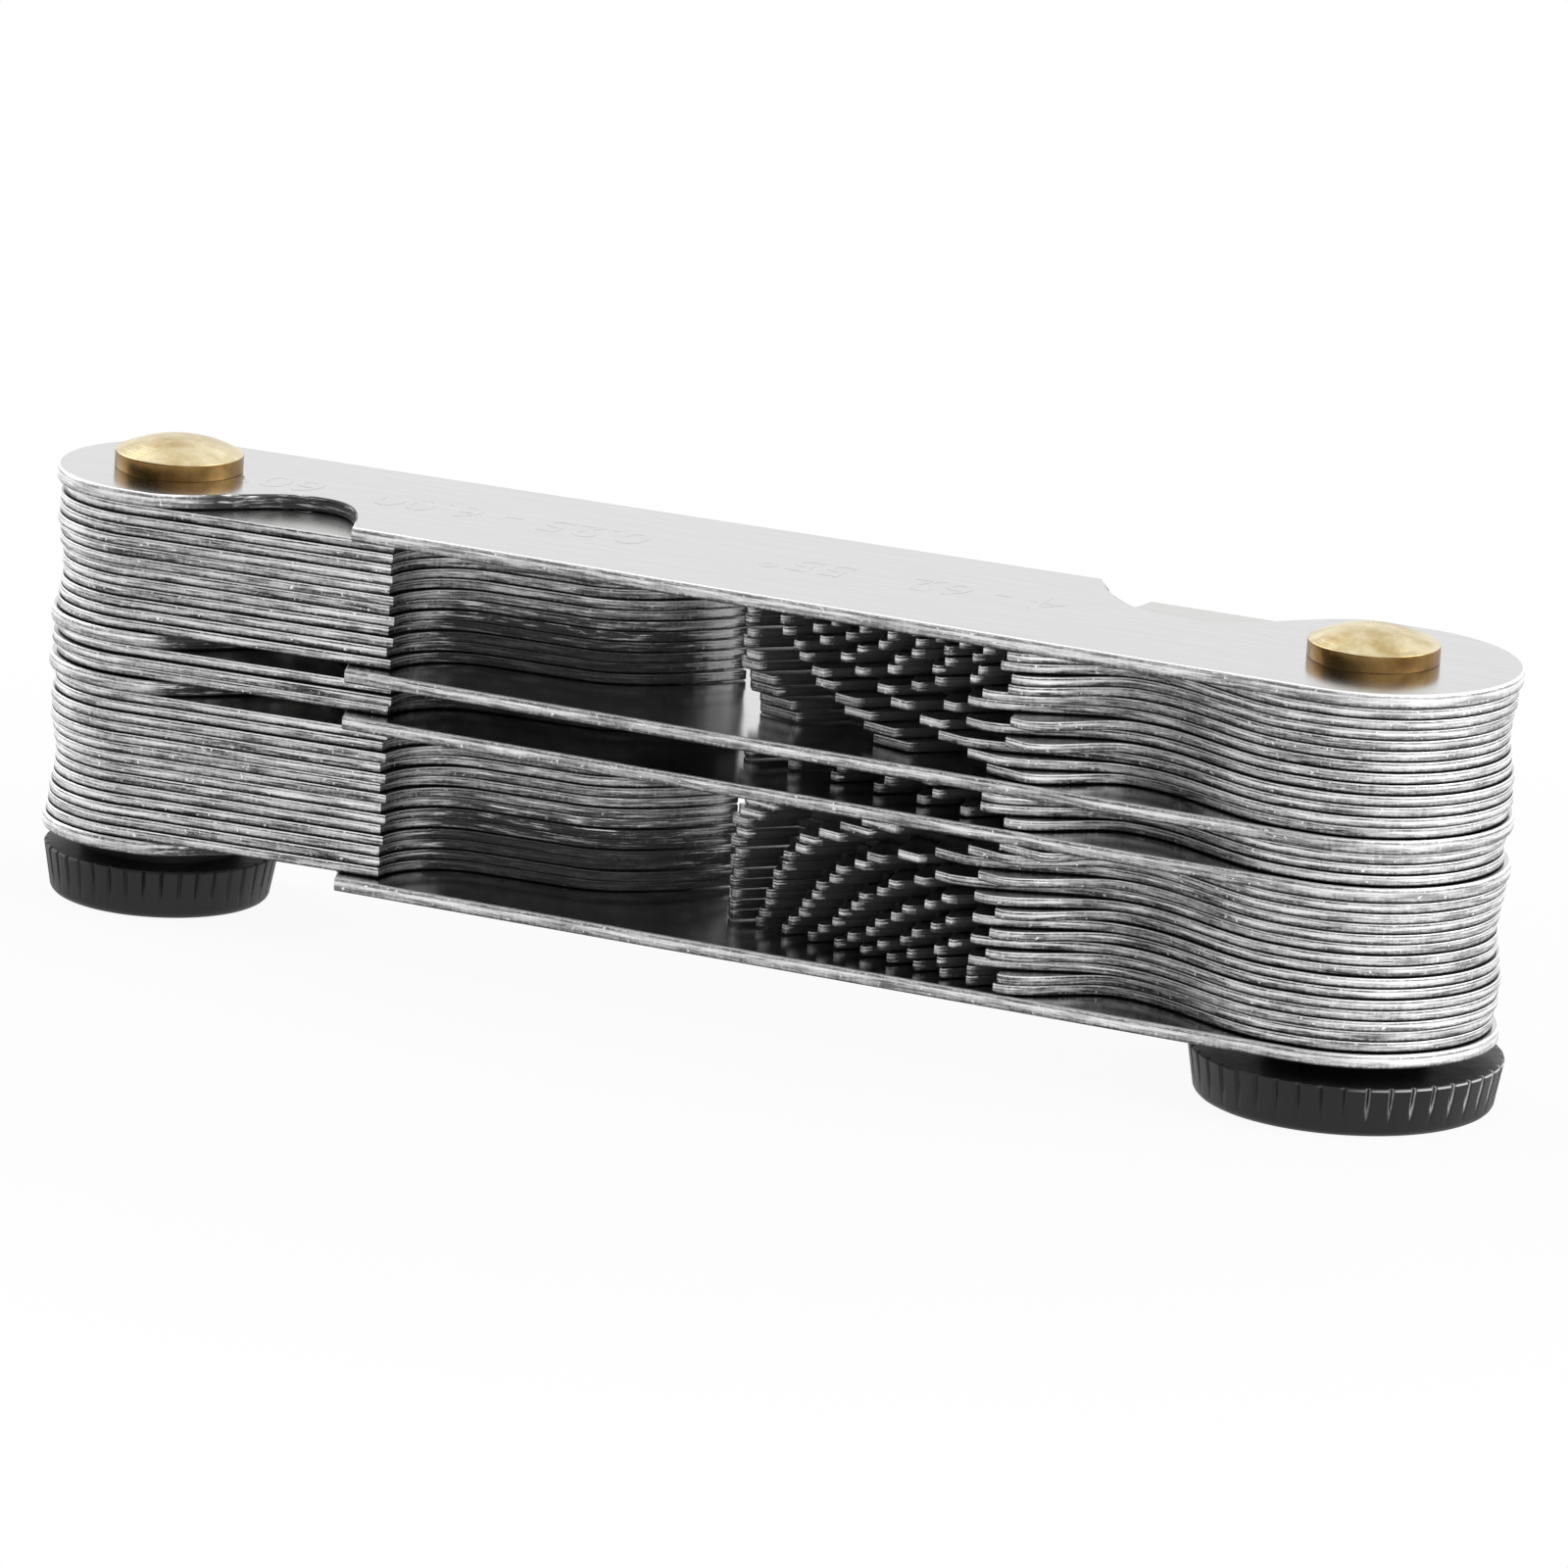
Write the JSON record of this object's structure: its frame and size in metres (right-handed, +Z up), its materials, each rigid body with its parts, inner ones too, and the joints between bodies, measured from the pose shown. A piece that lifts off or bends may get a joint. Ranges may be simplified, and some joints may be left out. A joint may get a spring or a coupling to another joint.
{
  "type": "thread pitch gauge",
  "caption": "Pocket thread pitch gauge: toothed steel leaves that swing out on domed brass screws from between case plates, held by knurled lock nuts.",
  "frame": {"origin": "centre of the bounding box at the bottom, on the surface that the lock nuts stand on", "axes": "+X along the gauge from the left screw to the right screw, +Y to the back, +Z up along the screws"},
  "size_m": [0.0652, 0.0128, 0.0197],
  "materials": {
    "case_plate": "bright nickel-plated sheet steel, smooth and mirror-like at a low angle, fine handling scratches",
    "leaf_steel": "blanked spring steel, satin faces, bright streaked edges with a slight burr",
    "brass_screw": "turned and polished brass, low dome over a darker rim",
    "black_nut": "black-oxide steel, fluted rim, satin"
  },
  "bodies": {
    "case": {"top_cover": "case_plate", "upper_divider": "case_plate", "lower_divider": "case_plate", "bottom_cover": "case_plate", "left_screw": "brass_screw", "right_screw": "brass_screw"},
    "metric_leaf_0.25": {"metric_leaf_0.25": "leaf_steel"},
    "metric_leaf_0.30": {"metric_leaf_0.30": "leaf_steel"},
    "metric_leaf_0.35": {"metric_leaf_0.35": "leaf_steel"},
    "metric_leaf_0.40": {"metric_leaf_0.40": "leaf_steel"},
    "metric_leaf_0.45": {"metric_leaf_0.45": "leaf_steel"},
    "metric_leaf_0.50": {"metric_leaf_0.50": "leaf_steel"},
    "metric_leaf_0.60": {"metric_leaf_0.60": "leaf_steel"},
    "metric_leaf_0.70": {"metric_leaf_0.70": "leaf_steel"},
    "metric_leaf_0.75": {"metric_leaf_0.75": "leaf_steel"},
    "metric_leaf_0.80": {"metric_leaf_0.80": "leaf_steel"},
    "metric_leaf_0.90": {"metric_leaf_0.90": "leaf_steel"},
    "metric_leaf_1.00": {"metric_leaf_1.00": "leaf_steel"},
    "metric_leaf_1.25": {"metric_leaf_1.25": "leaf_steel"},
    "metric_leaf_1.50": {"metric_leaf_1.50": "leaf_steel"},
    "metric_leaf_1.75": {"metric_leaf_1.75": "leaf_steel"},
    "metric_leaf_2.00": {"metric_leaf_2.00": "leaf_steel"},
    "metric_leaf_2.50": {"metric_leaf_2.50": "leaf_steel"},
    "metric_leaf_3.00": {"metric_leaf_3.00": "leaf_steel"},
    "metric_leaf_3.50": {"metric_leaf_3.50": "leaf_steel"},
    "metric_leaf_4.00": {"metric_leaf_4.00": "leaf_steel"},
    "metric_leaf_4.50": {"metric_leaf_4.50": "leaf_steel"},
    "metric_leaf_5.00": {"metric_leaf_5.00": "leaf_steel"},
    "metric_leaf_5.50": {"metric_leaf_5.50": "leaf_steel"},
    "metric_leaf_6.00": {"metric_leaf_6.00": "leaf_steel"},
    "inch_leaf_19": {"inch_leaf_19": "leaf_steel"},
    "inch_leaf_20": {"inch_leaf_20": "leaf_steel"},
    "inch_leaf_22": {"inch_leaf_22": "leaf_steel"},
    "inch_leaf_24": {"inch_leaf_24": "leaf_steel"},
    "inch_leaf_25": {"inch_leaf_25": "leaf_steel"},
    "inch_leaf_26": {"inch_leaf_26": "leaf_steel"},
    "inch_leaf_28": {"inch_leaf_28": "leaf_steel"},
    "inch_leaf_30": {"inch_leaf_30": "leaf_steel"},
    "inch_leaf_32": {"inch_leaf_32": "leaf_steel"},
    "inch_leaf_36": {"inch_leaf_36": "leaf_steel"},
    "inch_leaf_40": {"inch_leaf_40": "leaf_steel"},
    "inch_leaf_48": {"inch_leaf_48": "leaf_steel"},
    "inch_leaf_60": {"inch_leaf_60": "leaf_steel"},
    "inch_leaf_62": {"inch_leaf_62": "leaf_steel"},
    "inch_leaf_4": {"inch_leaf_4": "leaf_steel"},
    "inch_leaf_4.5": {"inch_leaf_4.5": "leaf_steel"},
    "inch_leaf_5": {"inch_leaf_5": "leaf_steel"},
    "inch_leaf_6": {"inch_leaf_6": "leaf_steel"},
    "inch_leaf_7": {"inch_leaf_7": "leaf_steel"},
    "inch_leaf_8": {"inch_leaf_8": "leaf_steel"},
    "inch_leaf_9": {"inch_leaf_9": "leaf_steel"},
    "inch_leaf_10": {"inch_leaf_10": "leaf_steel"},
    "inch_leaf_11": {"inch_leaf_11": "leaf_steel"},
    "inch_leaf_12": {"inch_leaf_12": "leaf_steel"},
    "inch_leaf_13": {"inch_leaf_13": "leaf_steel"},
    "inch_leaf_14": {"inch_leaf_14": "leaf_steel"},
    "inch_leaf_16": {"inch_leaf_16": "leaf_steel"},
    "inch_leaf_18": {"inch_leaf_18": "leaf_steel"},
    "left_lock_nut": {"left_lock_nut": "black_nut"},
    "right_lock_nut": {"right_lock_nut": "black_nut"}
  },
  "joints": [
    {"name": "metric_leaf_0.25_swing", "type": "hinge", "parent": "case", "child": "metric_leaf_0.25", "pos_m": [-0.02754, 0, 0.0105], "axis": [0, 0, 1], "range_deg": [0, 180]},
    {"name": "metric_leaf_0.30_swing", "type": "hinge", "parent": "case", "child": "metric_leaf_0.30", "pos_m": [-0.02754, 0, 0.0105], "axis": [0, 0, 1], "range_deg": [0, 180]},
    {"name": "metric_leaf_0.35_swing", "type": "hinge", "parent": "case", "child": "metric_leaf_0.35", "pos_m": [-0.02754, 0, 0.0105], "axis": [0, 0, 1], "range_deg": [0, 180]},
    {"name": "metric_leaf_0.40_swing", "type": "hinge", "parent": "case", "child": "metric_leaf_0.40", "pos_m": [-0.02754, 0, 0.0105], "axis": [0, 0, 1], "range_deg": [0, 180]},
    {"name": "metric_leaf_0.45_swing", "type": "hinge", "parent": "case", "child": "metric_leaf_0.45", "pos_m": [-0.02754, 0, 0.0105], "axis": [0, 0, 1], "range_deg": [0, 180]},
    {"name": "metric_leaf_0.50_swing", "type": "hinge", "parent": "case", "child": "metric_leaf_0.50", "pos_m": [-0.02754, 0, 0.0105], "axis": [0, 0, 1], "range_deg": [0, 180]},
    {"name": "metric_leaf_0.60_swing", "type": "hinge", "parent": "case", "child": "metric_leaf_0.60", "pos_m": [-0.02754, 0, 0.0105], "axis": [0, 0, 1], "range_deg": [0, 180]},
    {"name": "metric_leaf_0.70_swing", "type": "hinge", "parent": "case", "child": "metric_leaf_0.70", "pos_m": [-0.02754, 0, 0.0105], "axis": [0, 0, 1], "range_deg": [0, 180]},
    {"name": "metric_leaf_0.75_swing", "type": "hinge", "parent": "case", "child": "metric_leaf_0.75", "pos_m": [-0.02754, 0, 0.0105], "axis": [0, 0, 1], "range_deg": [0, 180]},
    {"name": "metric_leaf_0.80_swing", "type": "hinge", "parent": "case", "child": "metric_leaf_0.80", "pos_m": [-0.02754, 0, 0.0105], "axis": [0, 0, 1], "range_deg": [0, 180]},
    {"name": "metric_leaf_0.90_swing", "type": "hinge", "parent": "case", "child": "metric_leaf_0.90", "pos_m": [-0.02754, 0, 0.0105], "axis": [0, 0, 1], "range_deg": [0, 180]},
    {"name": "metric_leaf_1.00_swing", "type": "hinge", "parent": "case", "child": "metric_leaf_1.00", "pos_m": [-0.02754, 0, 0.0105], "axis": [0, 0, 1], "range_deg": [0, 180]},
    {"name": "metric_leaf_1.25_swing", "type": "hinge", "parent": "case", "child": "metric_leaf_1.25", "pos_m": [0.02616, 0, 0.0105], "axis": [0, 0, 1], "range_deg": [0, 180]},
    {"name": "metric_leaf_1.50_swing", "type": "hinge", "parent": "case", "child": "metric_leaf_1.50", "pos_m": [0.02616, 0, 0.0105], "axis": [0, 0, 1], "range_deg": [0, 180]},
    {"name": "metric_leaf_1.75_swing", "type": "hinge", "parent": "case", "child": "metric_leaf_1.75", "pos_m": [0.02616, 0, 0.0105], "axis": [0, 0, 1], "range_deg": [0, 180]},
    {"name": "metric_leaf_2.00_swing", "type": "hinge", "parent": "case", "child": "metric_leaf_2.00", "pos_m": [0.02616, 0, 0.0105], "axis": [0, 0, 1], "range_deg": [0, 180]},
    {"name": "metric_leaf_2.50_swing", "type": "hinge", "parent": "case", "child": "metric_leaf_2.50", "pos_m": [0.02616, 0, 0.0105], "axis": [0, 0, 1], "range_deg": [0, 180]},
    {"name": "metric_leaf_3.00_swing", "type": "hinge", "parent": "case", "child": "metric_leaf_3.00", "pos_m": [0.02616, 0, 0.0105], "axis": [0, 0, 1], "range_deg": [0, 180]},
    {"name": "metric_leaf_3.50_swing", "type": "hinge", "parent": "case", "child": "metric_leaf_3.50", "pos_m": [0.02616, 0, 0.0105], "axis": [0, 0, 1], "range_deg": [0, 180]},
    {"name": "metric_leaf_4.00_swing", "type": "hinge", "parent": "case", "child": "metric_leaf_4.00", "pos_m": [0.02616, 0, 0.0105], "axis": [0, 0, 1], "range_deg": [0, 180]},
    {"name": "metric_leaf_4.50_swing", "type": "hinge", "parent": "case", "child": "metric_leaf_4.50", "pos_m": [0.02616, 0, 0.0105], "axis": [0, 0, 1], "range_deg": [0, 180]},
    {"name": "metric_leaf_5.00_swing", "type": "hinge", "parent": "case", "child": "metric_leaf_5.00", "pos_m": [0.02616, 0, 0.0105], "axis": [0, 0, 1], "range_deg": [0, 180]},
    {"name": "metric_leaf_5.50_swing", "type": "hinge", "parent": "case", "child": "metric_leaf_5.50", "pos_m": [0.02616, 0, 0.0105], "axis": [0, 0, 1], "range_deg": [0, 180]},
    {"name": "metric_leaf_6.00_swing", "type": "hinge", "parent": "case", "child": "metric_leaf_6.00", "pos_m": [0.02616, 0, 0.0105], "axis": [0, 0, 1], "range_deg": [0, 180]},
    {"name": "inch_leaf_19_swing", "type": "hinge", "parent": "case", "child": "inch_leaf_19", "pos_m": [-0.02754, 0, 0.0105], "axis": [0, 0, 1], "range_deg": [0, 180]},
    {"name": "inch_leaf_20_swing", "type": "hinge", "parent": "case", "child": "inch_leaf_20", "pos_m": [-0.02754, 0, 0.0105], "axis": [0, 0, 1], "range_deg": [0, 180]},
    {"name": "inch_leaf_22_swing", "type": "hinge", "parent": "case", "child": "inch_leaf_22", "pos_m": [-0.02754, 0, 0.0105], "axis": [0, 0, 1], "range_deg": [0, 180]},
    {"name": "inch_leaf_24_swing", "type": "hinge", "parent": "case", "child": "inch_leaf_24", "pos_m": [-0.02754, 0, 0.0105], "axis": [0, 0, 1], "range_deg": [0, 180]},
    {"name": "inch_leaf_25_swing", "type": "hinge", "parent": "case", "child": "inch_leaf_25", "pos_m": [-0.02754, 0, 0.0105], "axis": [0, 0, 1], "range_deg": [0, 180]},
    {"name": "inch_leaf_26_swing", "type": "hinge", "parent": "case", "child": "inch_leaf_26", "pos_m": [-0.02754, 0, 0.0105], "axis": [0, 0, 1], "range_deg": [0, 180]},
    {"name": "inch_leaf_28_swing", "type": "hinge", "parent": "case", "child": "inch_leaf_28", "pos_m": [-0.02754, 0, 0.0105], "axis": [0, 0, 1], "range_deg": [0, 180]},
    {"name": "inch_leaf_30_swing", "type": "hinge", "parent": "case", "child": "inch_leaf_30", "pos_m": [-0.02754, 0, 0.0105], "axis": [0, 0, 1], "range_deg": [0, 180]},
    {"name": "inch_leaf_32_swing", "type": "hinge", "parent": "case", "child": "inch_leaf_32", "pos_m": [-0.02754, 0, 0.0105], "axis": [0, 0, 1], "range_deg": [0, 180]},
    {"name": "inch_leaf_36_swing", "type": "hinge", "parent": "case", "child": "inch_leaf_36", "pos_m": [-0.02754, 0, 0.0105], "axis": [0, 0, 1], "range_deg": [0, 180]},
    {"name": "inch_leaf_40_swing", "type": "hinge", "parent": "case", "child": "inch_leaf_40", "pos_m": [-0.02754, 0, 0.0105], "axis": [0, 0, 1], "range_deg": [0, 180]},
    {"name": "inch_leaf_48_swing", "type": "hinge", "parent": "case", "child": "inch_leaf_48", "pos_m": [-0.02754, 0, 0.0105], "axis": [0, 0, 1], "range_deg": [0, 180]},
    {"name": "inch_leaf_60_swing", "type": "hinge", "parent": "case", "child": "inch_leaf_60", "pos_m": [-0.02754, 0, 0.0105], "axis": [0, 0, 1], "range_deg": [0, 180]},
    {"name": "inch_leaf_62_swing", "type": "hinge", "parent": "case", "child": "inch_leaf_62", "pos_m": [-0.02754, 0, 0.0105], "axis": [0, 0, 1], "range_deg": [0, 180]},
    {"name": "inch_leaf_4_swing", "type": "hinge", "parent": "case", "child": "inch_leaf_4", "pos_m": [0.02616, 0, 0.0105], "axis": [0, 0, 1], "range_deg": [0, 180]},
    {"name": "inch_leaf_4.5_swing", "type": "hinge", "parent": "case", "child": "inch_leaf_4.5", "pos_m": [0.02616, 0, 0.0105], "axis": [0, 0, 1], "range_deg": [0, 180]},
    {"name": "inch_leaf_5_swing", "type": "hinge", "parent": "case", "child": "inch_leaf_5", "pos_m": [0.02616, 0, 0.0105], "axis": [0, 0, 1], "range_deg": [0, 180]},
    {"name": "inch_leaf_6_swing", "type": "hinge", "parent": "case", "child": "inch_leaf_6", "pos_m": [0.02616, 0, 0.0105], "axis": [0, 0, 1], "range_deg": [0, 180]},
    {"name": "inch_leaf_7_swing", "type": "hinge", "parent": "case", "child": "inch_leaf_7", "pos_m": [0.02616, 0, 0.0105], "axis": [0, 0, 1], "range_deg": [0, 180]},
    {"name": "inch_leaf_8_swing", "type": "hinge", "parent": "case", "child": "inch_leaf_8", "pos_m": [0.02616, 0, 0.0105], "axis": [0, 0, 1], "range_deg": [0, 180]},
    {"name": "inch_leaf_9_swing", "type": "hinge", "parent": "case", "child": "inch_leaf_9", "pos_m": [0.02616, 0, 0.0105], "axis": [0, 0, 1], "range_deg": [0, 180]},
    {"name": "inch_leaf_10_swing", "type": "hinge", "parent": "case", "child": "inch_leaf_10", "pos_m": [0.02616, 0, 0.0105], "axis": [0, 0, 1], "range_deg": [0, 180]},
    {"name": "inch_leaf_11_swing", "type": "hinge", "parent": "case", "child": "inch_leaf_11", "pos_m": [0.02616, 0, 0.0105], "axis": [0, 0, 1], "range_deg": [0, 180]},
    {"name": "inch_leaf_12_swing", "type": "hinge", "parent": "case", "child": "inch_leaf_12", "pos_m": [0.02616, 0, 0.0105], "axis": [0, 0, 1], "range_deg": [0, 180]},
    {"name": "inch_leaf_13_swing", "type": "hinge", "parent": "case", "child": "inch_leaf_13", "pos_m": [0.02616, 0, 0.0105], "axis": [0, 0, 1], "range_deg": [0, 180]},
    {"name": "inch_leaf_14_swing", "type": "hinge", "parent": "case", "child": "inch_leaf_14", "pos_m": [0.02616, 0, 0.0105], "axis": [0, 0, 1], "range_deg": [0, 180]},
    {"name": "inch_leaf_16_swing", "type": "hinge", "parent": "case", "child": "inch_leaf_16", "pos_m": [0.02616, 0, 0.0105], "axis": [0, 0, 1], "range_deg": [0, 180]},
    {"name": "inch_leaf_18_swing", "type": "hinge", "parent": "case", "child": "inch_leaf_18", "pos_m": [0.02616, 0, 0.0105], "axis": [0, 0, 1], "range_deg": [0, 180]},
    {"name": "left_lock_nut_turn", "type": "hinge", "parent": "case", "child": "left_lock_nut", "pos_m": [-0.02754, 0, 0.0013], "axis": [0, 0, -1], "range_deg": [0, 360]},
    {"name": "right_lock_nut_turn", "type": "hinge", "parent": "case", "child": "right_lock_nut", "pos_m": [0.02616, 0, 0.0013], "axis": [0, 0, -1], "range_deg": [0, 360]}
  ]
}
